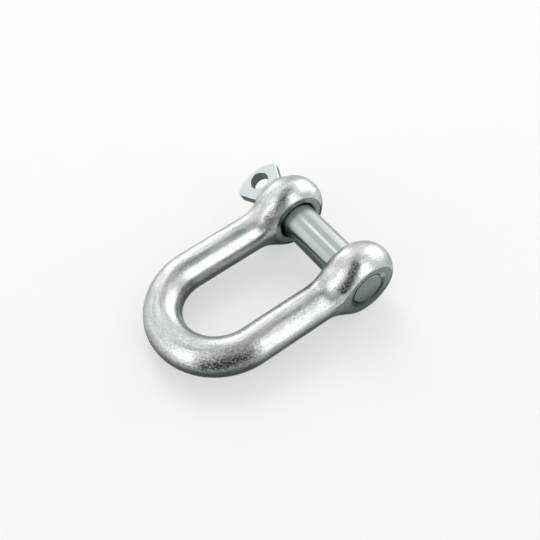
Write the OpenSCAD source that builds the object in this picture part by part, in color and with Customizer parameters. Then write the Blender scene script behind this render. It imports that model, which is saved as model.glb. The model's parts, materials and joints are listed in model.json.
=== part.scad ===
// Chain joining shackle: a forged dee bow closed by a screw pin with a flat eye head.
// The pin lies along X and the bow runs towards -Y from it. The shackle lies as it comes
// to rest, on its two eyes and its crown, so the plane of the bow leans about X.

/* [Bow] */
// Diameter of the round bar
bar_d = 10; // [9:0.1:11]
// Clear width between the two legs
jaw_w = 19.6; // [17:0.1:26]
// Distance from the pin's axis to the centreline of the crown
reach = 46.8; // [40:0.1:60]

/* [Eyes] */
// Diameter of an eye over its rounded rim
eye_d = 20.5; // [19:0.1:23]
// Thickness of an eye between its flat faces
eye_t = 9.8; // [8.6:0.1:11]
// Diameter of an eye's flat faces
face_d = 15.6; // [14:0.1:17]
// Radius of the fillet between an eye and its leg
neck_r = 7; // [4:0.5:10]
// Width of the chamfer at the mouths of the holes
mouth_chamfer = 0.4; // [0.1:0.1:0.8]

/* [Pin] */
// Diameter of the plain shank
shank_d = 10; // [9:0.1:11]
// Diameter over the screw thread at the tip
thread_d = 9.6; // [8.4:0.1:9.6]
// Width of the chamfer at the tip
tip_chamfer = 0.6; // [0.2:0.1:1.5]
// How far the tip stops short of the outer face of its eye
tip_inset = 0.2; // [0:0.1:2]

/* [Head] */
// Diameter of the collar that seats on the plain eye
collar_d = 14; // [12.5:0.1:16]
// Thickness of the collar
collar_t = 1.4; // [1:0.1:3]
// Thickness of the flat plate
plate_t = 3.8; // [2.5:0.1:5]
// Length of the plate from the collar to its outer edge
plate_len = 10.7; // [9.5:0.1:14]
// Width of the plate where it leaves the collar
root_w = 6.8; // [5:0.1:9]
// Width of the plate across its outer corners
corner_w = 13.2; // [11:0.1:15]
// Radius of the plate's curved outer edge
edge_r = 9.4; // [8.5:0.1:14]
// Diameter of the hole in the plate
eyelet_d = 5.2; // [4:0.1:6]
// Distance from the collar to the centre of the hole
eyelet_x = 6.5; // [5.5:0.1:7]
// Turn of the plate out of the plane of the bow when the pin is tight
plate_turn = 18; // [-90:1:90]

/* [Clearances] */
// Radial clearance of the shank in the plain hole
plain_gap = 0.6; // [0.2:0.05:1]
// Radial clearance of the threaded tip in its hole
thread_gap = 0.1; // [0.05:0.05:0.4]
// Clearance between the collar and the eye
seat_gap = 0.1; // [0.05:0.05:0.3]
// Clearance between the end of the plain shank and the threaded eye
shoulder_gap = 0.3; // [0.1:0.1:1]

/* [Hidden] */
$fn = 96;

plated_steel = [0.80, 0.82, 0.82];
bright_steel = [0.86, 0.88, 0.89];

bar_r = bar_d / 2;
eye_r = eye_d / 2;
face_r = face_d / 2;
crown_r = jaw_w / 2 + bar_r;
leg_len = reach - crown_r;

// The eye's rim is an arc through both face edges and the rim's highest point
rim_rise = eye_r - face_r;
rim_r = (pow(rim_rise, 2) + pow(eye_t / 2, 2)) / (2 * rim_rise);

// The neck's fillet touches the eye's rim, and bites into the bar so that the two cross
neck_bite = 0.1;
neck_side_inset = 0.1;
fillet_z = bar_r - neck_bite + neck_r;
fillet_y = sqrt(pow(eye_r + neck_r, 2) - pow(fillet_z, 2));
neck_top_r = fillet_z * eye_r / (eye_r + neck_r) - neck_bite;

shank_r = shank_d / 2;
thread_r = thread_d / 2;
plain_hole_r = shank_r + plain_gap;
threaded_hole_r = thread_r + thread_gap;

inner_x = crown_r - eye_t / 2;
outer_x = crown_r + eye_t / 2;
collar_x = outer_x + seat_gap;
root_x = collar_x + collar_t;
edge_x = root_x + plate_len;
corner_x = edge_x - edge_r + sqrt(pow(edge_r, 2) - pow(corner_w / 2, 2));
plate_sink = 0.5;
flare = (corner_w - root_w) / 2 / (corner_x - root_x);

// The crown drops until it lies as low as the eyes
lie_tilt = asin((eye_r - bar_r) / reach);

// Room that a cutting tool runs past a face
past = 1;

// Crown: half a ring of the bar
module crown() {
    translate([0, -leg_len, 0])
        rotate([0, 0, 180])
            rotate_extrude(angle = 180)
                translate([crown_r, 0])
                    circle(r = bar_r);
}

// Straight leg of the bar, from the crown up to the eye's centre
module leg() {
    rotate([90, 0, 0])
        cylinder(r = bar_r, h = leg_len);
}

// Eye: a disc about the pin's axis with a rounded rim and flat faces
module eye_disc() {
    rotate([0, 90, 0])
        rotate_extrude()
            intersection() {
                union() {
                    translate([eye_r - rim_r, 0])
                        circle(r = rim_r);
                    translate([0, -eye_t / 2])
                        square([face_r, eye_t]);
                }
                translate([0, -eye_t / 2])
                    square([eye_r + past, eye_t]);
            }
}

// Neck: the bar flares through a fillet into the eye's rim
module neck() {
    side = eye_t / 2 - neck_side_inset;
    intersection() {
        rotate([90, 0, 0])
            rotate_extrude()
                difference() {
                    square([neck_top_r, fillet_y]);
                    translate([fillet_z, fillet_y])
                        circle(r = neck_r);
                }
        translate([-side, -2 * reach, -2 * reach])
            cube([2 * side, 4 * reach, 4 * reach]);
    }
}

// Clears what stands proud of one flat face of an eye
module face_cut() {
    rotate([0, 90, 0])
        translate([0, 0, eye_t / 2])
            cylinder(r = face_r, h = bar_d);
}

// Hole of radius r along X through an eye, with a chamfer at both mouths
module eye_hole(r) {
    rotate([0, 90, 0]) {
        cylinder(r = r, h = eye_t + 2 * past, center = true);
        for (end = [0, 1])
            mirror([0, 0, end])
                translate([0, 0, eye_t / 2 - mouth_chamfer])
                    cylinder(r1 = r, r2 = r + mouth_chamfer + past, h = mouth_chamfer + past);
    }
}

// One side of the bow: leg, neck and eye with a hole of radius r
module side(r) {
    difference() {
        union() {
            leg();
            neck();
            eye_disc();
        }
        for (end = [0, 1])
            mirror([end, 0, 0])
                face_cut();
        eye_hole(r);
    }
}

module shackle_body() {
    color(plated_steel)
        rotate([lie_tilt, 0, 0]) {
            crown();
            translate([crown_r, 0, 0])
                side(threaded_hole_r);
            translate([-crown_r, 0, 0])
                side(plain_hole_r);
        }
}

// Flat fan-shaped plate with a curved outer edge and the eyelet hole
module head_plate() {
    difference() {
        translate([0, 0, -plate_t / 2])
            linear_extrude(plate_t)
                intersection() {
                    translate([edge_r - edge_x, 0])
                        circle(r = edge_r);
                    polygon([
                        for (end = [1, -1])
                            for (x = end > 0 ? [root_x - plate_sink, edge_x] : [edge_x, root_x - plate_sink])
                                [-x, end * (root_w / 2 + flare * (x - root_x))]
                    ]);
                }
        translate([-root_x - eyelet_x, 0, 0])
            cylinder(d = eyelet_d, h = plate_t + 2 * past, center = true);
    }
}

module screw_pin() {
    shank_end = inner_x - shoulder_gap;
    tip_x = outer_x - tip_inset;
    color(bright_steel)
        rotate([lie_tilt, 0, 0]) {
            rotate([plate_turn, 0, 0])
                head_plate();
            rotate([0, 90, 0]) {
                translate([0, 0, -root_x])
                    cylinder(d = collar_d, h = collar_t);
                translate([0, 0, -root_x])
                    cylinder(r = shank_r, h = root_x + shank_end);
                translate([0, 0, shank_end])
                    cylinder(r = thread_r, h = tip_x - tip_chamfer - shank_end);
                translate([0, 0, tip_x - tip_chamfer])
                    cylinder(r1 = thread_r, r2 = thread_r - tip_chamfer, h = tip_chamfer);
            }
        }
}

shackle_body();
screw_pin();
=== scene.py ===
"""Dresses the chain joining shackle as a bright zinc plated forging with its screw pin.

Lengths are in millimetres until a mesh, a lamp or a node takes them, which is in metres. Shapes are worked
out in the frame of the bow, where the pin lies along X, the bow runs towards -Y and its plane is level, and
are then tilted about X into the frame of the part, where the shackle lies on its two eyes and its crown.
"""
import json
import logging
import math
from dataclasses import dataclass
from enum import Enum, IntEnum

import bmesh
import bpy
import numpy as np
from mathutils import Matrix, Vector


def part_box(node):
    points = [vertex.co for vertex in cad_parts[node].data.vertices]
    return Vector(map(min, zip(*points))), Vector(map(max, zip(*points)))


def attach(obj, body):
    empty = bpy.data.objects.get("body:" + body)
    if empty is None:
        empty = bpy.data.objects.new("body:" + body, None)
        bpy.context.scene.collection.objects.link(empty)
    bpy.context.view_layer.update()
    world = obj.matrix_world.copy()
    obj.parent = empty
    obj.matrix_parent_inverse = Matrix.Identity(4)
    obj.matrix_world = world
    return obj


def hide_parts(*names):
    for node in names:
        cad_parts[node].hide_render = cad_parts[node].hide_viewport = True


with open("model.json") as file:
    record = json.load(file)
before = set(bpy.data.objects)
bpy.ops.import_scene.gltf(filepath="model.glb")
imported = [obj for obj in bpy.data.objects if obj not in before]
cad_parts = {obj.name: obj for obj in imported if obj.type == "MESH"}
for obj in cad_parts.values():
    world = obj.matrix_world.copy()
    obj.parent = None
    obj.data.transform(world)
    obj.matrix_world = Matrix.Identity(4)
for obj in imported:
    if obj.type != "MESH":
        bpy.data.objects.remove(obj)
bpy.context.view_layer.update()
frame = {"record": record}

log = logging.getLogger("shackle")

MM = 0.001
FULL_TURN = 2.0 * math.pi
QUARTER_TURN = 0.5 * math.pi
# Point attribute of the forging that holds each point's place on the straightened bar.
ALONG_BAR = "along_bar"
# Tint of every plating where it is seen at a grazing angle.
EDGE_TINT = "#d0d5d3"
# Numbers of a colour mix's two colours and of its result, whose names other sockets share.
MIX_FROM, MIX_TO, MIX_OUT = 6, 7, 2
# Heights of a noise pattern between which nearly all of it lies.
NOISE_LOW, NOISE_HIGH = 0.3, 0.7

Array = np.ndarray
Tree = bpy.types.NodeTree
Socket = bpy.types.NodeSocket


class Slot(Enum):
    """Material slots of the record."""

    FORGING = "plated_forging"
    PIN = "plated_pin"


class Body(Enum):
    """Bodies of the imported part."""

    BOW = "bow"
    PIN = "pin"


class Carve(Enum):
    """What one solid does to another."""

    CUT = "DIFFERENCE"
    JOIN = "UNION"


class Face(IntEnum):
    """Finishes of a piece's faces, in the order of its materials."""

    MAIN = 0
    TURNED = 1
    SHEARED = 2


class Lay(Enum):
    """How one colour goes over another: its blend, and the ramp on which it sets in."""

    COVER = ("MIX", "LINEAR")
    SHADE = ("MULTIPLY", "SMOOTHSTEP")


def mount(name: str) -> dict:
    """Finds one mount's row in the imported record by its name."""
    return next(row for row in frame["record"]["mounts"] if row["name"] == name)


def smooth_min(a: Array, b: Array, blend: float | Array) -> Array:
    """Lesser of two values, less a parabola a quarter of the blend deep where they are equal."""
    share = np.clip(0.5 + 0.5 * (b - a) / blend, 0.0, 1.0)
    return b * (1.0 - share) + a * share - blend * share * (1.0 - share)


def even_angles(count: int) -> Array:
    """Even angles about an axis, in radians, from 0 up to a full turn."""
    return np.linspace(0.0, FULL_TURN, count, endpoint=False)


def arc(centre: Array, radius: float, first: float, last: float, count: int) -> Array:
    """Even points on a flat arc about a centre, between two angles in radians."""
    bend = np.linspace(first, last, count)
    return centre + radius * np.stack([np.cos(bend), np.sin(bend)], -1)


def about_x(x: Array, radius: Array) -> Array:
    """Turns a profile about X.

    Args:
        x: Place of each ring along X.
        radius: Radii of each ring at even angles, one row for each ring.

    Returns:
        Rows of points around X, each at its radius in the direction of its angle.
    """
    angle = even_angles(radius.shape[1])
    along = np.broadcast_to(x[:, None], radius.shape)
    return np.stack([along, radius * np.cos(angle), radius * np.sin(angle)], -1)


def tilt_about_x(points: Array, angle: float) -> Array:
    """Turns points, with X, Y and Z in their last axis, about X by radians from Y towards Z."""
    c, s = math.cos(angle), math.sin(angle)
    return points @ np.array([[1.0, 0.0, 0.0], [0.0, c, s], [0.0, -s, c]])


def grid_quads(rows: int, columns: int, close_rows: bool = False) -> list:
    """Lists the quads of a grid whose columns close into a ring.

    Args:
        rows: Number of rows.
        columns: Number of columns.
        close_rows: Whether the last row joins the first.

    Returns:
        Four vertex numbers for each quad.
    """
    row = np.arange(rows if close_rows else rows - 1)[:, None] * columns
    column = np.arange(columns)[None, :]
    after, right = (row + columns) % (rows * columns), (column + 1) % columns
    return np.stack([row + column, row + right, after + right, after + column], -1).reshape(-1, 4).tolist()


def plain_mesh(name: str, points: Array, faces: list) -> bpy.types.Object:
    """Makes an object from points and faces.

    Args:
        name: Name of the object and its mesh.
        points: Vertices in millimetres.
        faces: Vertex numbers of each face.

    Returns:
        The new object, linked to the scene.
    """
    mesh = bpy.data.meshes.new(name)
    mesh.from_pydata((points * MM).tolist(), [], faces)
    piece = bpy.data.objects.new(name, mesh)
    bpy.context.scene.collection.objects.link(piece)
    return piece


def closed_piece(name: str, points: Array, faces: list) -> bpy.types.Object:
    """Makes a closed, smooth shaded piece with its faces turned outwards.

    Args:
        name: Name of the piece.
        points: Vertices in millimetres.
        faces: Vertex numbers of each face.

    Returns:
        The new piece.
    """
    piece = plain_mesh(name, points, faces)
    work = bmesh.new()
    work.from_mesh(piece.data)
    bmesh.ops.recalc_face_normals(work, faces=work.faces)
    work.to_mesh(piece.data)
    work.free()
    piece.data.shade_smooth()
    return piece


def capped_tube(name: str, rings: Array, first: Array, last: Array) -> bpy.types.Object:
    """Makes a closed tube from rings, with a fan of triangles to a point at each end.

    Args:
        name: Name of the tube.
        rings: Rows of points around the tube.
        first: Point that closes the first ring.
        last: Point that closes the last ring.

    Returns:
        The closed tube.
    """
    rows, columns = rings.shape[:2]
    points = np.concatenate([rings.reshape(-1, 3), first[None], last[None]])
    here = np.arange(columns)
    after = (here + 1) % columns
    tail, pole = (rows - 1) * columns, np.full(columns, rows * columns)
    faces = grid_quads(rows, columns)
    faces += np.stack([pole, after, here], 1).tolist()
    faces += np.stack([pole + 1, tail + here, tail + after], 1).tolist()
    return closed_piece(name, points, faces)


def closed_ring(name: str, grid: Array) -> bpy.types.Object:
    """Makes a ring-shaped piece from rows of points, each a loop, whose last row joins the first."""
    rows, columns = grid.shape[:2]
    return closed_piece(name, grid.reshape(-1, 3), grid_quads(rows, columns, close_rows=True))


def vertex_points(mesh: bpy.types.Mesh) -> Array:
    """Reads a mesh's vertices.

    Args:
        mesh: The mesh.

    Returns:
        Its points in millimetres, one row each.
    """
    points = np.empty(3 * len(mesh.vertices))
    mesh.vertices.foreach_get("co", points)
    return points.reshape(-1, 3) / MM


def face_planes(mesh: bpy.types.Mesh) -> tuple:
    """Reads where each face of a mesh is and which way it looks.

    Args:
        mesh: The mesh.

    Returns:
        The middle of each face, in millimetres, and its normal.
    """
    centres, normals = np.empty((2, 3 * len(mesh.polygons)))
    mesh.polygons.foreach_get("center", centres)
    mesh.polygons.foreach_get("normal", normals)
    return centres.reshape(-1, 3) / MM, normals.reshape(-1, 3)


def carve(piece: bpy.types.Object, tools: list, how: Carve, crease: float) -> None:
    """Cuts pieces out of a piece, or joins them to it, and keeps only the result.

    Args:
        piece: The piece that is changed.
        tools: The pieces that cut or join, which are deleted.
        how: Whether they cut or join.
        crease: Angle in degrees above which an edge is shaded sharp.
    """
    for tool in tools:
        step = piece.modifiers.new(tool.name, "BOOLEAN")
        step.operation = how.value
        step.solver = "EXACT"
        step.object = tool
    result = piece.evaluated_get(bpy.context.evaluated_depsgraph_get())
    mesh = bpy.data.meshes.new_from_object(result)
    piece.modifiers.clear()
    spent = [piece.data] + [tool.data for tool in tools]
    piece.data = mesh
    for old in spent:
        bpy.data.meshes.remove(old)
    mesh.name = piece.name
    mesh.shade_smooth()
    mesh.set_sharp_from_angle(angle=math.radians(crease))


@dataclass(frozen=True)
class Waviness:
    """Gentle unevenness of a forged surface: a sum of sine waves in random directions."""

    seed: int
    height: float = 0.015
    shortest: float = 4.0
    longest: float = 11.0
    waves: int = 24

    def at(self, points: Array) -> Array:
        """Works out the unevenness at points.

        Args:
            points: Points in millimetres.

        Returns:
            Height above the even surface at each point.
        """
        draw = np.random.default_rng(self.seed)
        ways = draw.normal(size=(self.waves, 3))
        ways /= np.linalg.norm(ways, axis=1, keepdims=True)
        lengths = draw.uniform(self.shortest, self.longest, self.waves)
        phases = draw.uniform(0.0, FULL_TURN, self.waves)
        turns = points @ (FULL_TURN * ways / lengths[:, None]).T + phases
        return self.height * np.sin(turns).sum(-1) / math.sqrt(self.waves)


@dataclass(frozen=True)
class ScrewThread:
    """Right-hand screw thread about X, with flat crests and roots."""

    crest_r: float
    pitch: float
    depth: float
    start_x: float
    root_share: float = 0.125
    flank_share: float = 0.7

    def radius(self, x: Array, turn: Array) -> Array:
        """Radius of the thread: a trapezium wave along the axis that moves one pitch on each turn.

        The wave deepens from nothing over the first pitch.

        Args:
            x: Places along the axis.
            turn: Angles about the axis in radians.

        Returns:
            Radius at each place and angle.
        """
        phase = np.mod(x / self.pitch - turn / FULL_TURN, 1.0)
        flank = np.clip((np.abs(2.0 * phase - 1.0) - self.root_share) / self.flank_share, 0.0, 1.0)
        run_out = np.clip((x - self.start_x) / self.pitch, 0.0, 1.0)
        return self.crest_r - self.depth * run_out * (1.0 - flank)


@dataclass
class ForgedBow:
    """The forging: round bar bent to a dee, with an upset eye on each leg."""

    bar_r: float
    eye_r: float
    reach: float
    crown_r: float
    eye_t: float = 9.8
    face_r: float = 7.8
    neck_blend: float = 3.7
    face_edge: float = 0.25
    neck_edge: float = 1.8
    # Where the flat faces fade out and their edges soften down the neck, in eye radii from the pin.
    fade_start: float = 0.8
    fade_len: float = 0.9
    fade_rise: float = 2.4
    soft_start: float = 0.4
    soft_len: float = 0.6
    # How much deeper the outer face of the +X eye is pressed for each millimetre along and up.
    lean: tuple = (0.028, -0.054)
    plain_hole_r: float = 5.5
    thread_gap: float = 0.12
    mouth_chamfer: float = 0.4
    mouth_flare: float = 1.75
    spot_r: float = 7.5
    spot_depth: float = 0.14
    overrun: float = 0.6
    # Slack and least squareness by which turned faces are told from forged ones.
    lean_slack: float = 0.085
    spot_slack: float = 0.02
    squareness: float = 0.985
    around: int = 176
    eye_rows: int = 72
    neck_rows: int = 96
    neck_len: float = 1.75
    leg_rows: int = 30
    crown_rows: int = 124
    hole_around: int = 128
    thread_rows: int = 140
    halvings: int = 44
    crease: float = 38.0

    @classmethod
    def from_frame(cls) -> "ForgedBow":
        """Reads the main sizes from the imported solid's box and mounts.

        Returns:
            The bow's sizes.
        """
        low, high = (np.array(corner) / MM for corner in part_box("shackle_body"))
        bar_r = mount("crown_seat")["dims"]["r_mm"]
        eye_r = high[1]
        reach = math.hypot(-low[1] - bar_r, eye_r - bar_r)
        return cls(bar_r=bar_r, eye_r=eye_r, reach=reach, crown_r=high[0] - bar_r)

    @property
    def leg_len(self) -> float:
        """Length from the pin's axis to the start of the crown."""
        return self.reach - self.crown_r

    @property
    def lie_tilt(self) -> float:
        """Turn about X, in radians, that lays the crown as low as the eyes."""
        return math.asin((self.eye_r - self.bar_r) / self.reach)

    def face_lean(self, way: float) -> tuple:
        """Lean of an eye's outer face along and up: the eye at +X leans and the one at -X is square."""
        return self.lean if way > 0.0 else (0.0, 0.0)

    def stations(self) -> Array:
        """Places along one side: even turns over the eye's top, then even steps down the neck and leg.

        Returns:
            Places from just under the top of the eye down to the crown.
        """
        eye_top = self.eye_r * np.cos(np.linspace(0.0, QUARTER_TURN, self.eye_rows)[1:])
        neck_end = -self.neck_len * self.eye_r
        neck = np.linspace(0.0, neck_end, self.neck_rows)[1:]
        leg = np.linspace(neck_end, -self.leg_len, self.leg_rows)[1:]
        return np.concatenate([eye_top, neck, leg])

    def side_sections(self, y: Array, angle: Array, lean: tuple) -> tuple:
        """Sections of one side across its leg.

        Each section is where rays from the leg's axis leave the rounded union of the bar and the eye's disc,
        found by halving. The disc has a rim of one radius. The eye's flat faces are pressed into it, and fade
        out smoothly down the neck.

        Args:
            y: Places along the leg.
            angle: Directions about the leg's axis, from outwards towards up.
            lean: Depth by which the outer face is pressed deeper for each millimetre along and up.

        Returns:
            Offsets outwards and upwards from the leg's axis, one row for each place.
        """
        rise = self.eye_r - self.face_r
        rim_r = (rise ** 2 + (self.eye_t / 2.0) ** 2) / (2.0 * rise)
        core_r = self.eye_r - rim_r
        along = y[:, None]
        across, up = np.cos(angle)[None, :], np.sin(angle)[None, :]

        def outside(ray: Array) -> Array:
            """Height above the rounded union of bar and disc.

            Args:
                ray: Distance along each ray.

            Returns:
                Distance to the nearer of the two, below 0 inside.
            """
            u, z = ray * across, ray * up
            bar = np.sqrt(u ** 2 + z ** 2 + np.maximum(along, 0.0) ** 2) - self.bar_r
            disc = np.hypot(np.maximum(np.hypot(along, z) - core_r, 0.0), u) - rim_r
            return smooth_min(bar, disc, self.neck_blend)

        near = np.zeros((len(y), len(angle)))
        far = np.full_like(near, 2.0 * self.eye_r)
        for _ in range(self.halvings):
            middle = 0.5 * (near + far)
            inside = outside(middle) < 0.0
            near, far = np.where(inside, middle, near), np.where(inside, far, middle)
        place = np.stack(np.broadcast_arrays(near * across, along, near * up), -1)
        ray = near + Waviness(seed=11).at(place) * np.clip(near / self.bar_r, 0.0, 1.0)
        u = ray * across
        below = -along / self.eye_r
        fade = np.clip((below - self.fade_start) / self.fade_len, 0.0, 1.0)
        press = self.eye_t / 2.0 + self.fade_rise * fade ** 2 * (3.0 - 2.0 * fade)
        press = press - np.where(u > 0.0, lean[0] * along + lean[1] * ray * up, 0.0)
        soft = np.clip((below - self.soft_start) / self.soft_len, 0.0, 1.0)
        edge = self.face_edge + (self.neck_edge - self.face_edge) * soft
        return np.sign(u) * smooth_min(np.abs(u), press, edge), ray * up

    def rings(self) -> Array:
        """Rings of points along the whole bar: one side, the circle swept round the crown, the other side.

        Returns:
            Rows of points around the bar, from one eye's top to the other's.
        """
        angle = even_angles(self.around)
        y = self.stations()
        sides = []
        for way in (-1.0, 1.0):
            out, up = self.side_sections(y, angle, self.face_lean(way))
            along = np.broadcast_to(y[:, None], out.shape)
            sides.append(np.stack([way * (self.crown_r + out), along, up], -1))
        bend = np.linspace(0.0, math.pi, self.crown_rows)[1:-1, None]
        out, up = self.crown_r + self.bar_r * np.cos(angle), self.bar_r * np.sin(angle)
        place = np.stack(np.broadcast_arrays(-out * np.cos(bend), -out * np.sin(bend), up), -1)
        swell = 1.0 + Waviness(seed=12).at(place)[..., None] * np.sin(bend)[..., None] / self.bar_r
        centre = self.crown_r * np.stack([-np.cos(bend), -np.sin(bend), np.zeros_like(bend)], -1)
        crown = centre + (place - centre) * swell - np.array([0.0, self.leg_len, 0.0])
        return np.concatenate([sides[0], crown, sides[1][::-1]])

    def hole_tool(self, name: str, x: Array, radius: Array, centre_x: float) -> bpy.types.Object:
        """Makes the tool that cuts one eye's hole.

        The outer mouth flares as a countersink that follows the leaning face. The inner mouth has a chamfer
        and a shallow spot face round it.

        Args:
            name: Name of the tool.
            x: Places along the hole from the eye's middle.
            radius: Radius at each place and direction.
            centre_x: Place of the eye's middle.

        Returns:
            The tool, in the frame of the part.
        """
        inner = -math.copysign(1.0, centre_x)
        half = self.eye_t / 2.0
        floor = half - self.spot_depth
        angle = even_angles(radius.shape[1])
        order = np.argsort(x * inner)
        order = order[x[order] * inner < floor - self.mouth_chamfer]
        wide = radius.max()
        lean = self.face_lean(centre_x)
        face = half - wide * (lean[0] * np.cos(angle) + lean[1] * np.sin(angle))
        past_sink = -x[order, None] * inner - face + self.mouth_chamfer
        bore = np.maximum(radius[order], wide + self.mouth_flare * past_sink)
        spot_x = inner * np.array([floor - self.mouth_chamfer, floor, floor, half + self.overrun])
        spot_r = np.array([wide, wide + self.mouth_chamfer, self.spot_r, self.spot_r])
        bore = np.concatenate([bore, np.broadcast_to(spot_r[:, None], (len(spot_r), len(angle)))])
        rings = about_x(centre_x + np.concatenate([x[order], spot_x]), bore)
        rings = tilt_about_x(rings, self.lie_tilt)
        return capped_tube(name, rings, rings[0].mean(0), rings[-1].mean(0))

    def build(self, thread: ScrewThread) -> bpy.types.Object:
        """Builds the bow: the swept forging less its plain hole and its threaded hole.

        Args:
            thread: The pin's thread.

        Returns:
            The finished piece, which carries each point's place on the straightened bar.
        """
        rings = tilt_about_x(self.rings(), self.lie_tilt)
        tops = np.array([[-self.crown_r, self.eye_r, 0.0], [self.crown_r, self.eye_r, 0.0]])
        bow = capped_tube("forged_bow", rings, *tilt_about_x(tops, self.lie_tilt))

        past = self.eye_t / 2.0 + self.overrun
        mouth = self.eye_t / 2.0 - self.mouth_chamfer
        plain_x = np.array([-past, -mouth, mouth, past])
        plain_r = np.full((len(plain_x), self.hole_around), self.plain_hole_r)
        thread_x = np.linspace(-past, past, self.thread_rows)
        thread_r = thread.radius(thread_x[:, None] + self.crown_r, even_angles(self.hole_around))
        tools = [
            self.hole_tool("plain_hole", plain_x, plain_r, -self.crown_r),
            self.hole_tool("threaded_hole", thread_x, thread_r + self.thread_gap, self.crown_r),
        ]
        carve(bow, tools, Carve.CUT, self.crease)
        place = bow.data.attributes.new(ALONG_BAR, "FLOAT_VECTOR", "POINT")
        place.data.foreach_set("vector", (self.straightened(vertex_points(bow.data)) * MM).ravel())
        return bow

    def straightened(self, points: Array) -> Array:
        """Unbends points of the bow: length along the bar's axis, offset outwards from it, and height.

        The crown counts the arc of its axis from the middle, and each leg counts on from its end of it.

        Args:
            points: Points in the frame of the part.

        Returns:
            The points on a straight bar.
        """
        flat = tilt_about_x(points, -self.lie_tilt)
        x, up = flat[:, 0], flat[:, 2]
        past_crown = flat[:, 1] + self.leg_len
        below = np.minimum(past_crown, 0.0)
        bend = np.arctan2(x, -below)
        along = self.crown_r * bend + np.sign(x) * np.maximum(past_crown, 0.0)
        return np.stack([along, np.hypot(x, below) - self.crown_r, up], -1)

    def face_finishes(self, mesh: bpy.types.Mesh) -> Array:
        """Tells the turned faces, which are square to the pin on either side of an eye.

        Args:
            mesh: The finished mesh.

        Returns:
            The finish of each face.
        """
        centres, normals = face_planes(mesh)
        half = self.eye_t / 2.0
        offset = np.abs(centres[:, 0]) - self.crown_r
        radius = np.hypot(centres[:, 1], centres[:, 2])
        slack = np.where(centres[:, 0] > 0.0, self.lean_slack * radius, 0.0)
        outer = (offset > half - 0.5 * self.face_edge - slack) & (radius < self.eye_r)
        spot = (np.abs(offset + half - self.spot_depth) < self.spot_slack) & (radius < self.spot_r)
        turned = (outer | spot) & (np.abs(normals[:, 0]) > self.squareness)
        return np.where(turned, Face.TURNED, Face.MAIN)


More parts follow.
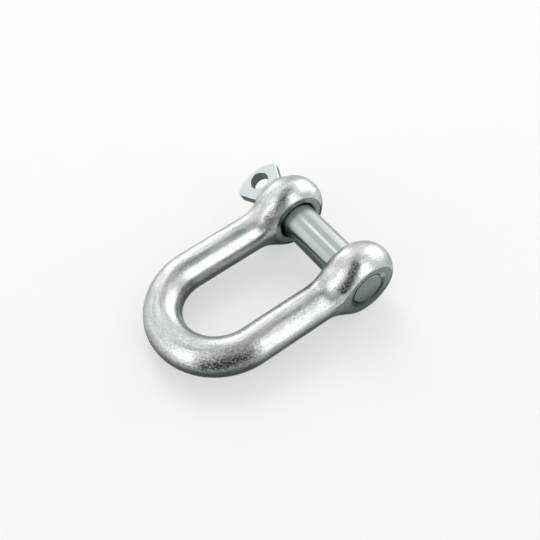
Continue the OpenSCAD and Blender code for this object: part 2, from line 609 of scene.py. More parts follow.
@dataclass
class ScrewPin:
    """The pin: threaded tip, plain shank, collar and a flat fan-shaped eye head."""

    shank_r: float
    eyelet_r: float
    eyelet_x: float
    plate_turn: float
    edge_x: float
    collar_x: float
    shoulder_x: float
    tip_x: float
    lie_tilt: float
    thread_r: float = 4.8
    pitch: float = 1.5
    thread_depth: float = 0.9
    tip_chamfer: float = 0.6
    shoulder_edge: float = 0.12
    collar_r: float = 7.0
    collar_t: float = 1.4
    collar_round: float = 0.35
    collar_fillet: float = 0.4
    plate_t: float = 3.8
    plate_round: float = 0.6
    root_w: float = 6.8
    corner_w: float = 13.8
    corner_r: float = 1.0
    edge_r: float = 10.0
    root_fillet: float = 1.2
    # Power of the cosine and sine that makes the fillet's loop nearly a rectangle.
    root_square: float = 0.22
    # How far the fillet's hidden core reaches out, sinks into the collar and lies under the plate's faces.
    root_core: float = 0.6
    root_sink: float = 0.4
    root_skin: float = 0.02
    eyelet_chamfer: float = 0.16
    # Slack and greatest squareness by which cut faces are told from drawn ones.
    tip_slack: float = 0.05
    side_squareness: float = 0.3
    # Radius of the ring next to each pole, and gaps between a corner and the rows that follow it.
    pole_r: float = 0.4
    tip_gap: float = 0.04
    row_gap: float = 0.6
    around: int = 128
    tip_rows: int = 8
    thread_rows: int = 150
    shank_rows: int = 48
    collar_rows: int = 6
    bend_rows: int = 7
    plate_around: int = 280
    plate_rows: int = 12
    root_points: int = 12
    corner_points: int = 16
    edge_points: int = 48
    fillet_around: int = 120
    fillet_rows: int = 9
    crease: float = 32.0

    @classmethod
    def from_frame(cls, bow: ForgedBow) -> "ScrewPin":
        """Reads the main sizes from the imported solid's box and mounts.

        Args:
            bow: The forging that the pin closes.

        Returns:
            The pin's sizes.
        """
        low, high = (np.array(corner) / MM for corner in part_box("screw_pin"))
        shank, eyelet = mount("pin_shank"), mount("eyelet")
        shoulder_gap = 0.3
        shoulder_x = bow.crown_r - bow.eye_t / 2.0 - shoulder_gap
        axis = eyelet["axis"]
        return cls(
            shank_r=shank["dims"]["r_mm"],
            eyelet_r=eyelet["dims"]["r_mm"],
            eyelet_x=-eyelet["pos_m"][0] / MM,
            plate_turn=math.atan2(-axis[1], axis[2]),
            edge_x=-low[0],
            collar_x=shank["dims"]["length_mm"] - shoulder_x,
            shoulder_x=shoulder_x,
            tip_x=high[0],
            lie_tilt=bow.lie_tilt,
        )

    @property
    def root_x(self) -> float:
        """Place of the collar's outer face, counted towards the head."""
        return self.collar_x + self.collar_t

    @property
    def thread(self) -> ScrewThread:
        """Coarse thread of the pin's size."""
        return ScrewThread(self.thread_r, self.pitch, self.thread_depth, self.shoulder_x)

    def turned_rows(self) -> Array:
        """Profile of the turned part from the tip to the collar, as lines and quarter arcs.

        Returns:
            Place along X and plain radius of each row.
        """
        bend = np.linspace(0.0, QUARTER_TURN, self.bend_rows)
        sin, cos = np.sin(bend), np.cos(bend)
        edge, fillet = self.collar_round, self.collar_fillet
        rim_r = self.collar_r - edge
        step = np.array([0.0, self.shoulder_edge])
        shank_x = np.linspace(self.shoulder_x - self.row_gap, fillet - self.collar_x, self.shank_rows)
        parts = [
            (self.tip_x, np.linspace(self.pole_r, self.thread_r - self.tip_chamfer, self.tip_rows)),
            (np.linspace(self.tip_x - self.tip_gap, self.shoulder_x, self.thread_rows), self.thread_r),
            (self.shoulder_x - step, self.shank_r - step[::-1]),
            (shank_x, self.shank_r),
            (fillet * (1.0 - sin[1:]) - self.collar_x, self.shank_r + fillet * (1.0 - cos[1:])),
            (-self.collar_x, np.linspace(self.shank_r + self.row_gap, rim_r, self.collar_rows)),
            (-self.collar_x - edge * (1.0 - cos[1:]), rim_r + edge * sin[1:]),
            (edge * (1.0 - sin) - self.root_x, rim_r + edge * cos),
            (-self.root_x, np.linspace(rim_r - self.pole_r, self.pole_r, self.tip_rows)),
        ]
        return np.concatenate([np.stack(np.broadcast_arrays(*part), -1) for part in parts])

    def turned_part(self) -> bpy.types.Object:
        """Makes the round part: the profile turned about X, with the thread cut into its tip.

        Returns:
            The round part, in the frame of the part.
        """
        x, plain = self.turned_rows().T[..., None]
        cut = self.thread.radius(x, even_angles(self.around))
        chamfer = self.thread_r - self.tip_chamfer + (self.tip_x - x)
        threaded = (x > self.shoulder_x) & (plain >= self.thread_r)
        rings = about_x(x[:, 0], np.where(threaded, np.minimum(cut, chamfer), plain))
        ends = np.array([[self.tip_x, 0.0, 0.0], [-self.root_x, 0.0, 0.0]])
        return capped_tube("plated_screw_pin", tilt_about_x(rings, self.lie_tilt), *ends)

    def fan_outline(self) -> Array:
        """Outline of the flat plate, counted outwards from the pin's middle and across.

        Two straight sides run outwards from inside the collar, and round corners touch them and the curved
        outer edge. Seen with outwards to the right, the outline runs clockwise.

        Returns:
            Evenly spaced points of the closed outline.
        """
        middle = self.edge_x - self.edge_r
        corner_x = middle + math.sqrt(self.edge_r ** 2 - (self.corner_w / 2.0) ** 2)
        slope = math.atan2((self.corner_w - self.root_w) / 2.0, corner_x - self.root_x)
        way = np.array([math.cos(slope), math.sin(slope)])
        inward = np.array([way[1], -way[0]])
        start = np.array([self.root_x - middle, self.root_w / 2.0]) + inward * self.corner_r
        ahead = start @ way
        run = -ahead + math.sqrt(ahead ** 2 - start @ start + (self.edge_r - self.corner_r) ** 2)
        centre = start + way * run
        toward = math.atan2(centre[1], centre[0])
        square = slope + QUARTER_TURN
        root = arc(start - way * self.collar_t, self.corner_r, math.pi, square, self.root_points)
        corner = arc(centre, self.corner_r, square, toward, self.corner_points)
        edge = arc(np.zeros(2), self.edge_r, toward, -toward, self.edge_points)
        half = np.concatenate([root, corner])
        outline = np.concatenate([half, edge[1:-1], half[::-1] * np.array([1.0, -1.0]), half[:1]])
        outline += np.array([middle, 0.0])
        steps = np.concatenate([[0.0], np.linalg.norm(np.diff(outline, axis=0), axis=1).cumsum()])
        even = np.linspace(0.0, steps[-1], self.plate_around, endpoint=False)
        return np.stack([np.interp(even, steps, outline[:, k]) for k in range(2)], -1)

    def place_head(self, out: Array | float, across: Array | float, up: Array | float) -> Array:
        """Puts head points, given outwards, across and through the plate, in the frame of the part."""
        points = np.stack(np.broadcast_arrays(-out, across, up), -1)
        return tilt_about_x(points, self.plate_turn)

    def head_plate(self) -> bpy.types.Object:
        """Makes the plate: its outline with rounded edges, closed in to the eyelet's wall on both faces.

        Returns:
            The plate, in the frame of the part.
        """
        outline = self.fan_outline()
        along = np.roll(outline, -1, 0) - np.roll(outline, 1, 0)
        along /= np.linalg.norm(along, axis=1, keepdims=True)
        inward = np.stack([along[:, 1], -along[:, 0]], -1) * self.plate_round
        hole = np.array([self.eyelet_x, 0.0])
        turn = np.arctan2(outline[:, 1], outline[:, 0] - hole[0])
        ring = np.stack([np.cos(turn), np.sin(turn)], -1)
        half = self.plate_t / 2.0
        bend = np.linspace(0.0, QUARTER_TURN, self.bend_rows)
        share = np.linspace(0.0, 1.0, self.plate_rows)[1:]
        rim = outline + inward
        mouth = hole + ring * (self.eyelet_r + self.eyelet_chamfer)
        rounded = outline + inward * (1.0 - np.cos(bend))[:, None, None]
        flat = rim + (mouth - rim) * share[:, None, None]
        wall = hole + ring * self.eyelet_r
        plan = np.concatenate([rounded, flat, wall[None]])
        level = np.concatenate([
            half - self.plate_round * (1.0 - np.sin(bend)),
            np.full(len(share), half),
            [half - self.eyelet_chamfer],
        ])
        plan = np.concatenate([plan, plan[::-1]])
        level = np.concatenate([level, -level[::-1]])
        return closed_ring("head_plate", self.place_head(plan[..., 0], plan[..., 1], level[:, None]))

    def head_fillet(self) -> bpy.types.Object:
        """Makes the fillet where the plate grows out of the collar: a hollow arc carried round its root.

        Returns:
            The fillet, in the frame of the part.
        """
        turn = even_angles(self.fillet_around)
        loop_w = np.sign(np.cos(turn)) * np.abs(np.cos(turn)) ** self.root_square
        loop_h = np.sign(np.sin(turn)) * np.abs(np.sin(turn)) ** self.root_square
        bend = np.linspace(QUARTER_TURN, 0.0, self.fillet_rows)
        size, sink = self.root_fillet, self.root_sink
        hidden = self.root_core * size
        out = np.concatenate([size * (1.0 - np.sin(bend)), [hidden, -sink, -sink]])[:, None]
        proud = np.concatenate([size * (1.0 - np.cos(bend)), [-size, -size, size]])[:, None] - self.root_skin
        flare = (self.corner_w - self.root_w) / 2.0 / (self.edge_x - self.root_x)
        wide = self.root_w / 2.0 + flare * np.maximum(out, 0.0) + proud
        high = self.plate_t / 2.0 + proud
        return closed_ring("head_fillet", self.place_head(self.root_x + out, wide * loop_w, high * loop_h))

    def build(self) -> bpy.types.Object:
        """Builds the pin as one solid: the turned part joined to the plate and its fillet.

        Returns:
            The finished piece.
        """
        pin = self.turned_part()
        carve(pin, [self.head_plate(), self.head_fillet()], Carve.JOIN, self.crease)
        return pin

    def face_finishes(self, mesh: bpy.types.Mesh) -> Array:
        """Tells the tip's flat end, and the sheared sides of the head with its eyelet's wall.

        Args:
            mesh: The finished mesh.

        Returns:
            The finish of each face.
        """
        centres, normals = face_planes(mesh)
        tip = centres[:, 0] > self.tip_x - self.tip_slack
        side = np.abs(normals @ self.place_head(0.0, 0.0, 1.0)) < self.side_squareness
        head = centres[:, 0] < -self.root_x - self.root_fillet
        return np.where(side & head, Face.SHEARED, np.where(tip, Face.TURNED, Face.MAIN))


def linear(hex_colour: str) -> tuple:
    """Turns an sRGB hex colour, six digits after a hash sign, into linear red, green, blue and alpha."""
    parts = [int(hex_colour[i:i + 2], 16) / 255.0 for i in (1, 3, 5)]
    return tuple(c / 12.92 if c <= 0.04045 else ((c + 0.055) / 1.055) ** 2.4 for c in parts) + (1.0,)


def per_mm(size: float) -> float:
    """Texture scale, in features to the metre, at which a feature is this many millimetres across."""
    return 1.0 / (size * MM)


def add_node(tree: Tree, kind: str, inputs: dict | None = None, **settings) -> bpy.types.bpy_prop_collection:
    """Adds one node with its settings, and fills or links its inputs.

    Args:
        tree: The node tree.
        kind: The node's type name.
        inputs: Input name or number to a value, or to the output socket that it takes.
        **settings: Properties of the node.

    Returns:
        The new node's outputs.
    """
    node = tree.nodes.new(kind)
    for name, value in settings.items():
        setattr(node, name, value)
    for name, value in (inputs or {}).items():
        if isinstance(value, Socket):
            tree.links.new(value, node.inputs[name])
        else:
            node.inputs[name].default_value = value
    return node.outputs


def new_material(name: str) -> tuple:
    """Makes an empty material.

    Args:
        name: The material's name.

    Returns:
        The material and its node tree.
    """
    material = bpy.data.materials.new(name)
    material.use_nodes = True
    material.node_tree.nodes.clear()
    return material, material.node_tree


def satin(tree: Tree, pattern: Socket, rough: tuple) -> Socket:
    """Works out a plating's roughness, which follows a noise pattern between two values.

    Args:
        tree: The material's nodes.
        pattern: The noise pattern.
        rough: Roughness where the pattern is low and where it is high.

    Returns:
        The roughness.
    """
    smooth, dull = rough
    return add_node(
        tree, "ShaderNodeMapRange",
        {"Value": pattern, "From Min": NOISE_LOW, "From Max": NOISE_HIGH, "To Min": smooth, "To Max": dull},
    )["Result"]


def plate_over(tree: Tree, colour: Socket, rough: Socket, normal: Socket) -> None:
    """Ends a plating's nodes in a metal with the plating's edge tint.

    Args:
        tree: The material's nodes.
        colour: Colour of the plating.
        rough: Its roughness.
        normal: Its normal, with the relief.
    """
    plating = add_node(
        tree, "ShaderNodeBsdfPrincipled",
        {
            "Base Color": colour,
            "Metallic": 1.0,
            "Specular Tint": linear(EDGE_TINT),
            "Roughness": rough,
            "Normal": normal,
        },
    )
    add_node(tree, "ShaderNodeOutputMaterial", {"Surface": plating["BSDF"]})


def matt_material(name: str, colour: str) -> bpy.types.Material:
    """Makes a plain matt cloth.

    Args:
        name: The material's name.
        colour: Its colour.

    Returns:
        The material.
    """
    material, tree = new_material(name)
    cloth = add_node(tree, "ShaderNodeBsdfDiffuse", {"Color": linear(colour)})
    add_node(tree, "ShaderNodeOutputMaterial", {"Surface": cloth["BSDF"]})
    return material


def seen_rays(tree: Tree) -> Socket:
    """Tells rays that show a surface from rays that only carry its light.

    Args:
        tree: The node tree.

    Returns:
        The socket that gives 1 to the camera, to mirrors and through glass, and 0 elsewhere.
    """
    rays = add_node(tree, "ShaderNodeLightPath")
    shown = rays["Is Camera Ray"]
    for other in ("Is Glossy Ray", "Is Transmission Ray"):
        shown = add_node(tree, "ShaderNodeMath", {0: shown, 1: rays[other]}, operation="MAXIMUM")["Value"]
    return shown


def table_material(name: str, colour: str, glow: float, near: float, far: float) -> bpy.types.Material:
    """Makes the table's pale matt sheet, glowing white where seen, so its shadows stay faint and end in
    white.

    Args:
        name: The material's name.
        colour: Its colour.
        glow: Share of what is seen of it by the shackle that is its own white.
        near: Distance in millimetres from the middle of the pin at which that share starts to grow.
        far: Distance at which the sheet is all white.

    Returns:
        The material.
    """
    material, tree = new_material(name)
    sheet = add_node(tree, "ShaderNodeBsdfDiffuse", {"Color": linear(colour)})
    white = add_node(tree, "ShaderNodeEmission", {"Color": linear(colour), "Strength": 1.0})
    place = add_node(tree, "ShaderNodeTexCoord")["Object"]
    away = add_node(tree, "ShaderNodeVectorMath", {0: place}, operation="LENGTH")["Value"]
    glowing = add_node(
        tree, "ShaderNodeMapRange",
        {"Value": away, "From Min": near * MM, "From Max": far * MM, "To Min": glow},
    )["Result"]
    share = add_node(tree, "ShaderNodeMath", {0: seen_rays(tree), 1: glowing}, operation="MULTIPLY")["Value"]
    mixed = add_node(tree, "ShaderNodeMixShader", {0: share, 1: sheet["BSDF"], 2: white["Emission"]})
    add_node(tree, "ShaderNodeOutputMaterial", {"Surface": mixed["Shader"]})
    return material


@dataclass(frozen=True)
class Blotches:
    """A noise pattern of blotches of one real size, drawn out along the first axis of its places."""

    size: float
    stretch: float = 1.0
    detail: float = 2.0
    rough: float = 0.5

    def on(self, tree: Tree, place: Socket) -> Socket:
        """Adds the pattern to a material.

        Args:
            tree: The material's nodes.
            place: Place on the piece, in metres.

        Returns:
            The pattern's height, from 0 to 1.
        """
        drawn = add_node(
            tree, "ShaderNodeMapping",
            {"Vector": place, "Scale": (1.0 / self.stretch, 1.0, 1.0)},
        )["Vector"]
        return add_node(
            tree, "ShaderNodeTexNoise",
            {"Vector": drawn, "Scale": per_mm(self.size), "Detail": self.detail, "Roughness": self.rough},
        )["Fac"]


@dataclass(frozen=True)
class Layer:
    """A colour laid over another: none of it where a pattern has its start value, all of it at its end."""

    colour: str
    start: float
    end: float
    lay: Lay = Lay.COVER

    def over(self, tree: Tree, under: Socket | tuple, value: Socket, most: Socket | float = 1.0) -> Socket:
        """Lays the colour over another.

        Args:
            tree: The material's nodes.
            under: The colour below.
            value: The pattern or height that it follows.
            most: Share of the colour that is laid on at its end value.

        Returns:
            The resulting colour.
        """
        blend, ramp = self.lay.value
        share = add_node(
            tree, "ShaderNodeMapRange",
            {"Value": value, "From Min": self.start, "From Max": self.end, "To Max": most},
            interpolation_type=ramp,
        )["Result"]
        return add_node(
            tree, "ShaderNodeMix",
            {"Factor": share, MIX_FROM: under, MIX_TO: linear(self.colour)},
            data_type="RGBA",
            blend_type=blend,
        )[MIX_OUT]


def shade(grey: str, top: float, bottom: float) -> Layer:
    """Painted shade: grey darkening plating between two heights, below which it sees little but the table."""
    return Layer(grey, top * MM, bottom * MM, Lay.SHADE)


@dataclass(frozen=True)
class PaintedReflectionStreak:
    """Painted dark reflection: a streak between two places on the straight bar, where the plating is
    darkened.
    """

    start: tuple
    end: tuple
    wide: float
    strength: float
    soft: float
    # How far noise shifts the streak's edge, and where the edge then lies, in widths.
    ragged: float = 1.4
    edge: float = 1.7

    def mask(self, tree: Tree, place: Socket, noise: Socket) -> Socket:
        """Builds the streak's mask: distance from the line between its ends, which fades at a ragged edge.

        Args:
            tree: The material's nodes.
            place: Place on the straightened bar.
            noise: Noise that breaks the edge.

        Returns:
            The socket that gives the streak's strength inside it and 0 outside.
        """
        start, way = Vector(self.start) * MM, (Vector(self.end) - Vector(self.start)) * MM
        ahead = way / way.length_squared
        wide = self.wide * MM
        kind = "ShaderNodeVectorMath"
        offset = add_node(tree, kind, {0: place, 1: start}, operation="SUBTRACT")["Vector"]
        share = add_node(tree, kind, {0: offset, 1: ahead}, operation="DOT_PRODUCT")["Value"]
        share = add_node(tree, "ShaderNodeClamp", {"Value": share})["Result"]
        foot = add_node(tree, kind, {0: way, "Scale": share}, operation="SCALE")["Vector"]
        away = add_node(tree, kind, {0: offset, 1: foot}, operation="DISTANCE")["Value"]
        broken = add_node(
            tree, "ShaderNodeMath",
            {0: noise, 1: self.ragged * wide, 2: away},
            operation="MULTIPLY_ADD",
        )["Value"]
        return add_node(
            tree, "ShaderNodeMapRange",
            {
                "Value": broken,
                "From Min": (self.edge + self.soft) * wide,
                "From Max": (self.edge - self.soft) * wide,
                "To Max": self.strength,
            },
        )["Result"]


@dataclass(frozen=True)
class ForgedZincPlate:
    """Bright zinc plating on a forged steel surface.

    The plating follows the hammered skin of the forging under it, with grains that run a little along the
    bar, faint rolled lines, patches of more and less shine, painted streaks of dark reflection, and painted
    shade towards its underside.
    """

    cool: str = "#d1dad8"
    warm: Layer = Layer("#dbd9d9", 0.4, 0.6)
    dull: Layer = Layer("#b5b8b7", 0.35, 0.65)
    pit: Layer = Layer("#888d8b", 0.52, 0.72)
    pit_most: float = 0.7
    # Painted dark reflection: the near black laid on in the streaks, broken up by the grain.
    painted_dark_reflection: Layer = Layer("#3b4041", 0.18, 0.55)
    # Painted shade: two greys that darken the plating towards its underside.
    shades: tuple = (shade("#76817f", 2.4, -0.5), shade("#a5adab", -0.6, -3.6))
    patch: Blotches = Blotches(6.0)
    mottle: Blotches = Blotches(1.6, stretch=7.0, detail=3.0, rough=0.6)
    line: Blotches = Blotches(1.5, stretch=40.0, detail=1.0)
    # Real forging grain is near 0.1 mm and too fine to show, so it is drawn about three times as coarse.
    grain: Blotches = Blotches(0.34, stretch=1.5, rough=0.6)
    line_depth: float = 0.13
    mottle_depth: float = 0.11
    grain_depth: float = 0.18
    rough: tuple = (0.22, 0.36)
    # The relief is stronger on the outside of the bend, and its grain is calm in some patches.
    inner_side: float = -3.0
    outer_side: float = 2.5
    inner_relief: float = 0.12
    outer_relief: float = 0.85
    calm_patch: float = 0.35
    lively_patch: float = 0.65
    calm_relief: float = 0.3
    # Painted dark reflections: the streaks, each from its start to its end on the straight bar.
    streaks: tuple = (
        PaintedReflectionStreak((12.2, 4.2, 2.6), (20.8, 3.8, 3.2), wide=2.1, strength=1.0, soft=0.8),
        PaintedReflectionStreak((-2.0, 4.9, 0.6), (20.0, 4.9, 0.6), wide=1.9, strength=0.75, soft=0.9),
        PaintedReflectionStreak((48.3, 4.2, 5.2), (53.2, 2.8, 9.5), wide=1.1, strength=0.95, soft=0.45),
        PaintedReflectionStreak((-46.5, -2.9, 5.6), (-52.8, -3.0, 9.3), wide=0.85, strength=0.8, soft=0.7),
        PaintedReflectionStreak((-20.0, -4.9, 0.9), (-4.5, -4.9, 1.1), wide=1.4, strength=0.8, soft=0.9),
    )

    def painted_reflection_mask(self, tree: Tree, place: Socket, noise: Socket) -> Socket:
        """Joins the masks of the painted dark reflection streaks: the strongest of them at each place.

        Args:
            tree: The material's nodes.
            place: Place on the straightened bar.
            noise: Noise that breaks the streaks' edges.

        Returns:
            The socket that gives the streaks' strength.
        """
        first, *others = [streak.mask(tree, place, noise) for streak in self.streaks]
        for other in others:
            first = add_node(tree, "ShaderNodeMath", {0: first, 1: other}, operation="MAXIMUM")["Value"]
        return first

    def material(self) -> bpy.types.Material:
        """Builds the material from patches, mottling, lines and grains that follow the bent bar.

        Returns:
            The material.
        """
        # Forged steel under bright zinc: a satin mirror that breaks up into bright and dark grains.
        material, tree = new_material("zinc_plated_forging")
        place = add_node(tree, "ShaderNodeAttribute", attribute_name=ALONG_BAR)["Vector"]
        axes = add_node(tree, "ShaderNodeSeparateXYZ", {"Vector": place})
        patch, mottle = self.patch.on(tree, place), self.mottle.on(tree, place)
        line, grain = self.line.on(tree, place), self.grain.on(tree, place)

        colour = self.warm.over(tree, linear(self.cool), patch)
        colour = self.dull.over(tree, colour, mottle)
        colour = self.pit.over(tree, colour, grain, self.pit_most)
        # Painted dark reflection in the streaks.
        colour = self.painted_dark_reflection.over(tree, colour, grain, self.painted_reflection_mask(tree, place, mottle))
        # Painted shade, darker towards the underside.
        for grey in self.shades:
            colour = grey.over(tree, colour, axes["Z"])

        strong = add_node(
            tree, "ShaderNodeMapRange",
            {
                "Value": axes["Y"],
                "From Min": self.inner_side * MM,
                "From Max": self.outer_side * MM,
                "To Min": self.inner_relief,
                "To Max": self.outer_relief,
            },
        )["Result"]
        patchy = add_node(
            tree, "ShaderNodeMapRange",
            {
                "Value": patch,
                "From Min": self.calm_patch,
                "From Max": self.lively_patch,
                "To Min": self.calm_relief,
                "To Max": strong,
            },
        )["Result"]
        normal = add_node(
            tree, "ShaderNodeBump",
            {"Height": line, "Strength": 1.0, "Distance": self.line_depth * MM},
        )["Normal"]
        for height, strength, depth in (
            (mottle, strong, self.mottle_depth),
            (grain, patchy, self.grain_depth),
        ):
            normal = add_node(
                tree, "ShaderNodeBump",
                {"Height": height, "Strength": strength, "Distance": depth * MM, "Normal": normal},
            )["Normal"]
        plate_over(tree, colour, satin(tree, patch, self.rough), normal)
        return material


@dataclass(frozen=True)
class TurnedZincPlate:
    """Zinc plating on a turned or cut face, with faint rings about the pin, painted dark as a reflection."""

    name: str = "zinc_plated_turned_face"
    # Painted dark reflection: both greys are far darker than the bright plating elsewhere.
    light: str = "#98a19f"
    dull: str = "#646d6b"
    # Painted shade: darkens the face towards the bottom.
    low_shade: Layer = shade("#b4b9b7", 1.0, -5.0)
    cloud: Blotches = Blotches(1.4, detail=4.0, rough=0.7)
    # Real tool marks are near 0.1 mm apart and too fine to show, so they are drawn three times as coarse.
    ring_mm: float = 0.3
    ring_depth: float = 0.02
    ring_strength: float = 0.4
    rough: tuple = (0.2, 0.3)

    def material(self) -> bpy.types.Material:
        """Builds the material from clouds and from rings about the X axis, on Object coordinates.

        Returns:
            The material.
        """
        # Machined steel under zinc: a painted dark grey reflection, clouded, with a soft gloss and fine
        # rings.
        material, tree = new_material(self.name)
        place = add_node(tree, "ShaderNodeTexCoord")["Object"]
        cloud = self.cloud.on(tree, place)
        kind = "ShaderNodeVectorMath"
        across = add_node(tree, kind, {0: place, 1: (0.0, 1.0, 1.0)}, operation="MULTIPLY")["Vector"]
        radius = add_node(tree, kind, {0: across}, operation="LENGTH")["Value"]
        rings = add_node(
            tree, "ShaderNodeTexNoise",
            {"W": radius, "Scale": per_mm(self.ring_mm), "Detail": 1.0},
            noise_dimensions="1D",
        )["Fac"]
        colour = Layer(self.dull, 0.0, 1.0).over(tree, linear(self.light), cloud)
        height = add_node(tree, "ShaderNodeSeparateXYZ", {"Vector": place})["Z"]
        # Painted shade towards the bottom.
        colour = self.low_shade.over(tree, colour, height)
        normal = add_node(
            tree, "ShaderNodeBump",
            {"Height": rings, "Strength": self.ring_strength, "Distance": self.ring_depth * MM},
        )["Normal"]
        plate_over(tree, colour, satin(tree, cloud, self.rough), normal)
        return material


@dataclass(frozen=True)
class DrawnZincPlate:
    """Bright zinc plating on a drawn pin, smooth with faint lines along it, and paler on its forged head."""

    light: str = "#b9c0bf"
    dull: str = "#aab1b0"
    head_light: str = "#d4dcde"
    head_dull: str = "#bec6c8"
    # Painted shade: two greys that darken the shank towards its underside.
    shades: tuple = (shade("#9aa09e", 2.3, 1.0), shade("#b0b5b3", 1.0, -0.2))
    # Where the head's tint ends and the shank's begins, and where the shank is worn dull in its plain eye.
    head_x: float = -24.0
    collar_x: float = -20.0
    bright_x: float = -3.0
    worn_x: float = -9.0
    worn_rough: float = 0.2
    # Real drawing lines are finer than 0.1 mm and would not show, so they are drawn coarser.
    line: Blotches = Blotches(0.35, stretch=25.0)
    line_depth: float = 0.02
    line_strength: float = 0.2
    cloud: Blotches = Blotches(4.0, detail=3.0)
    rough: tuple = (0.13, 0.2)

    def material(self) -> bpy.types.Material:
        """Builds the material from clouds and lengthwise lines on Object coordinates.

        Returns:
            The material.
        """
        # Drawn steel under bright zinc: a clear, slightly streaked mirror that greys where it is worn.
        material, tree = new_material("zinc_plated_pin")
        place = add_node(tree, "ShaderNodeTexCoord")["Object"]
        axes = add_node(tree, "ShaderNodeSeparateXYZ", {"Vector": place})
        line, cloud = self.line.on(tree, place), self.cloud.on(tree, place)
        shank = add_node(
            tree, "ShaderNodeMapRange",
            {"Value": axes["X"], "From Min": self.head_x * MM, "From Max": self.collar_x * MM},
        )["Result"]
        colour = add_node(
            tree, "ShaderNodeMix",
            {
                "Factor": shank,
                MIX_FROM: Layer(self.head_dull, 0.0, 1.0).over(tree, linear(self.head_light), cloud),
                MIX_TO: Layer(self.dull, 0.0, 1.0).over(tree, linear(self.light), cloud),
            },
            data_type="RGBA",
        )[MIX_OUT]
        # Painted shade on the shank, darker towards its underside.
        for grey in self.shades:
            colour = grey.over(tree, colour, axes["Z"], shank)
        worn = add_node(
            tree, "ShaderNodeMapRange",
            {
                "Value": axes["X"],
                "From Min": self.bright_x * MM,
                "From Max": self.worn_x * MM,
                "To Max": self.worn_rough,
            },
        )["Result"]
        smooth = satin(tree, line, self.rough)
        rough = add_node(tree, "ShaderNodeMath", {0: smooth, 1: worn}, operation="ADD")["Value"]
        normal = add_node(
            tree, "ShaderNodeBump",
            {"Height": line, "Strength": self.line_strength, "Distance": self.line_depth * MM},
        )["Normal"]
        plate_over(tree, colour, rough, normal)
        return material


def look_from(aim: Vector, azimuth: float, elevation: float, distance: float, roll: float = 0.0) -> Matrix:
    """Places something that looks along its own -Z at a point.

    Args:
        aim: The point looked at, in metres.
        azimuth: Degrees from -Y towards +X.
        elevation: Degrees above the floor.
        distance: Metres from the point.
        roll: Degrees of turn about the line of sight.

    Returns:
        The placing matrix.
    """
    turn = Matrix.Rotation(math.radians(azimuth), 4, "Z")
    dip = Matrix.Rotation(math.radians(90.0 - elevation), 4, "X")
    lean = Matrix.Rotation(math.radians(roll), 4, "Z")
    return Matrix.Translation(aim) @ turn @ dip @ lean @ Matrix.Translation((0.0, 0.0, distance))


@dataclass(frozen=True)
class SoftBox:
    """A studio lamp behind cloth, bright in its middle and fading out towards its edges.

    Its place and its size are in degrees, as seen from the shackle.
    """

    name: str
    azimuth: float
    elevation: float
    wide: float
    tall: float
    strength: float
    feather: float
    in_metal: bool = True
    layers: int = 4
    layer_gap: float = 0.01
    distance: float = 900.0

    def build(self, aim: Vector) -> None:
        """Hangs the lamp as nested panes, each a little larger, that together fade out at the edges.

        Args:
            aim: The point that the lamp faces, in metres.
        """
        away = self.distance * MM
        for layer in range(self.layers):
            grow = self.feather * (layer / (self.layers - 1.0) - 0.5)
            pane = bpy.data.lights.new(f"{self.name}_{layer}", "AREA")
            pane.shape = "RECTANGLE"
            pane.size = 2.0 * away * math.tan(math.radians((self.wide + grow) / 2.0))
            pane.size_y = 2.0 * away * math.tan(math.radians((self.tall + grow) / 2.0))
            pane.energy = self.strength / self.layers * math.pi * pane.size * pane.size_y
            holder = bpy.data.objects.new(pane.name, pane)
            back = away * (1.0 + self.layer_gap * layer)
            holder.matrix_world = look_from(aim, self.azimuth, self.elevation, back)
            holder.visible_glossy = self.in_metal
            bpy.context.scene.collection.objects.link(holder)


@dataclass(frozen=True)
class ClothCard:
    """A cloth card that the plating mirrors: part of a ball round the shackle, unseen by the camera."""

    name: str
    colour: str
    azimuths: tuple
    elevations: tuple
    distance: float = 500.0
    steps: int = 25

    def build(self, aim: Vector) -> None:
        """Stands the card: points at even azimuths and elevations on the ball.

        Args:
            aim: The middle of the ball, in metres.
        """
        azimuth = np.radians(np.linspace(*self.azimuths, self.steps))
        elevation = np.radians(np.linspace(*self.elevations, self.steps))[:, None]
        level = np.cos(elevation)
        ways = np.broadcast_arrays(level * np.sin(azimuth), -level * np.cos(azimuth), np.sin(elevation))
        points = self.distance * np.stack(ways, -1).reshape(-1, 3) + np.array(aim) / MM
        column = np.arange(self.steps - 1)
        first = (column[:, None] * self.steps + column).ravel()
        faces = np.stack([first, first + 1, first + self.steps + 1, first + self.steps], -1)
        card = plain_mesh(self.name, points, faces.tolist())
        card.data.materials.append(matt_material(f"{self.name}_cloth", self.colour))
        card.visible_camera = False


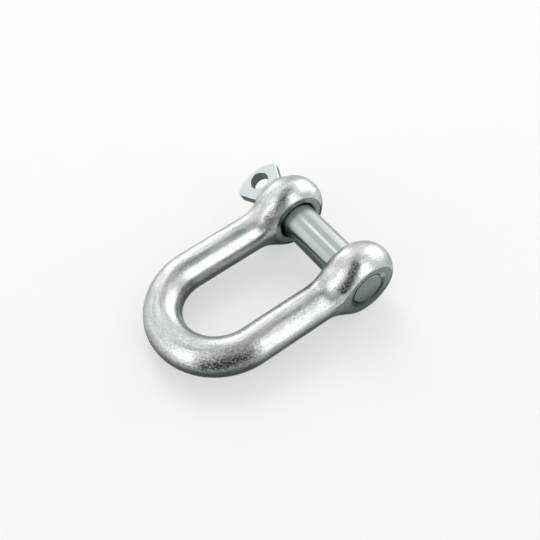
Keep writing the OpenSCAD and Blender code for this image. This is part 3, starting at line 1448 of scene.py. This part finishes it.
@dataclass(frozen=True)
class Studio:
    """Pale table, soft lamps and cards, and the camera at the photograph's viewing angle."""

    floor_z: float
    floor_colour: str = "#fcfcfa"
    floor_half: float = 420.0
    floor_glow: float = 0.58
    glow_near: float = 100.0
    glow_far: float = 360.0
    wall_colour: str = "#fbfcfb"
    fill_colour: str = "#868988"
    camera_azimuth: float = 56.17
    camera_elevation: float = 49.6
    camera_roll: float = -1.33
    camera_distance: float = 199.74
    camera_aim_y: float = -16.39
    clip_start: float = 5.0
    lens: float = 51.86
    sensor: float = 36.0
    # Each lamp's azimuth, elevation, width and height come first.
    lamps: tuple = (
        SoftBox("back_lamp", 187.0, 21.0, 46.0, 54.0, strength=1.6, feather=30.0),
        SoftBox("left_lamp", -96.0, 19.0, 26.0, 44.0, strength=1.5, feather=20.0),
        SoftBox("corner_lamp", -50.0, 14.0, 34.0, 34.0, strength=0.45, feather=24.0),
        SoftBox("front_lamp", 5.0, 17.0, 32.0, 68.0, strength=1.7, feather=24.0),
        SoftBox("right_lamp", 107.0, 24.0, 23.0, 66.0, strength=1.6, feather=18.0),
        SoftBox("high_lamp", -83.0, 57.0, 15.0, 9.0, strength=1.1, feather=4.0),
        SoftBox("table_lamp", -112.0, 50.0, 32.0, 32.0, strength=4.2, feather=12.0, in_metal=False),
    )
    cards: tuple = (
        ClothCard("dark_card", "#2a3331", azimuths=(32.0, 78.0), elevations=(-1.0, 18.0)),
        ClothCard("corner_card", "#454f4d", azimuths=(34.0, 46.0), elevations=(18.0, 26.0)),
        ClothCard("grey_card", "#ccd0ce", azimuths=(38.0, 86.0), elevations=(20.0, 66.0)),
        ClothCard("ceiling_card", "#c4c7c6", azimuths=(-180.0, 180.0), elevations=(70.0, 89.0)),
    )

    def lay_floor(self) -> None:
        """Lays the table under the shackle."""
        corners = np.array([[-1.0, -1.0], [1.0, -1.0], [1.0, 1.0], [-1.0, 1.0]]) * self.floor_half
        points = np.concatenate([corners, np.full((4, 1), self.floor_z)], 1)
        floor = plain_mesh("floor", points, [(0, 1, 2, 3)])
        pale = table_material("pale_table", self.floor_colour, self.floor_glow, self.glow_near, self.glow_far)
        floor.data.materials.append(pale)

    def paint_walls(self) -> None:
        """Paints the world: near white where it is seen, in metal too, and a plain grey fill as a light."""
        world = bpy.data.worlds.new("studio")
        world.use_nodes = True
        tree = world.node_tree
        tree.nodes.clear()
        walls = add_node(
            tree, "ShaderNodeMix",
            {
                "Factor": seen_rays(tree),
                MIX_FROM: linear(self.fill_colour),
                MIX_TO: linear(self.wall_colour),
            },
            data_type="RGBA",
        )[MIX_OUT]
        sky = add_node(tree, "ShaderNodeBackground", {"Color": walls, "Strength": 1.0})
        add_node(tree, "ShaderNodeOutputWorld", {"Surface": sky["Background"]})
        bpy.context.scene.world = world

    def place_camera(self, aim: Vector) -> None:
        """Places the camera and makes it the scene's.

        Args:
            aim: The point that it looks at, in metres.
        """
        camera = bpy.data.cameras.new("camera")
        camera.sensor_width = self.sensor
        camera.lens = self.lens
        camera.clip_start = self.clip_start * MM
        holder = bpy.data.objects.new("camera", camera)
        holder.matrix_world = look_from(
            aim, self.camera_azimuth, self.camera_elevation, self.camera_distance * MM, self.camera_roll
        )
        bpy.context.scene.collection.objects.link(holder)
        bpy.context.scene.camera = holder

    def build(self) -> None:
        """Builds the table, the cards, the walls, the lamps and the camera."""
        bpy.context.scene.view_settings.view_transform = "Standard"
        aim = Vector((0.0, self.camera_aim_y * MM, 0.0))
        self.lay_floor()
        for card in self.cards:
            card.build(aim)
        self.paint_walls()
        for lamp in self.lamps:
            lamp.build(aim)
        self.place_camera(aim)
        log.info("studio: %d cards, %d lamps", len(self.cards), len(self.lamps))


def dress(piece: bpy.types.Object, node: str, body: Body, finishes: list, faces: Array) -> None:
    """Gives a piece its finishes and puts it in place of a solid.

    Args:
        piece: The piece.
        node: The solid that it stands for.
        body: The body that it moves with.
        finishes: Its materials, in the order of the faces' finishes.
        faces: The finish of each of its faces.
    """
    mesh = piece.data
    mesh.materials.clear()
    for finish in finishes:
        mesh.materials.append(finish)
    mesh.polygons.foreach_set("material_index", faces.astype(np.int32))
    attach(piece, body.value)
    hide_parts(node)
    cut = np.count_nonzero(faces)
    log.info("%s: %d faces, %d of them turned or cut, for %s", piece.name, len(faces), cut, node)


def main() -> None:
    """Builds the forging, the pin and the studio."""
    logging.basicConfig(level=logging.INFO, format="%(name)s: %(message)s")
    bow = ForgedBow.from_frame()
    pin = ScrewPin.from_frame(bow)
    forging = bow.build(pin.thread)
    finishes = [ForgedZincPlate().material(), TurnedZincPlate().material()]
    dress(forging, "shackle_body", Body.BOW, finishes, bow.face_finishes(forging.data))
    screw = pin.build()
    # Painted dark reflection on the pin's cut end, and darker painted shade on the head's sheared sides and
    # eyelet wall.
    cut = TurnedZincPlate("zinc_plated_cut_end", "#969f9d", "#6d7674")
    sheared = TurnedZincPlate("zinc_plated_sheared_edge", "#626b69", "#555e5c")
    finishes = [DrawnZincPlate().material(), cut.material(), sheared.material()]
    dress(screw, "screw_pin", Body.PIN, finishes, pin.face_finishes(screw.data))
    Studio(floor_z=-bow.eye_r).build()


if __name__ == "__main__":
    main()
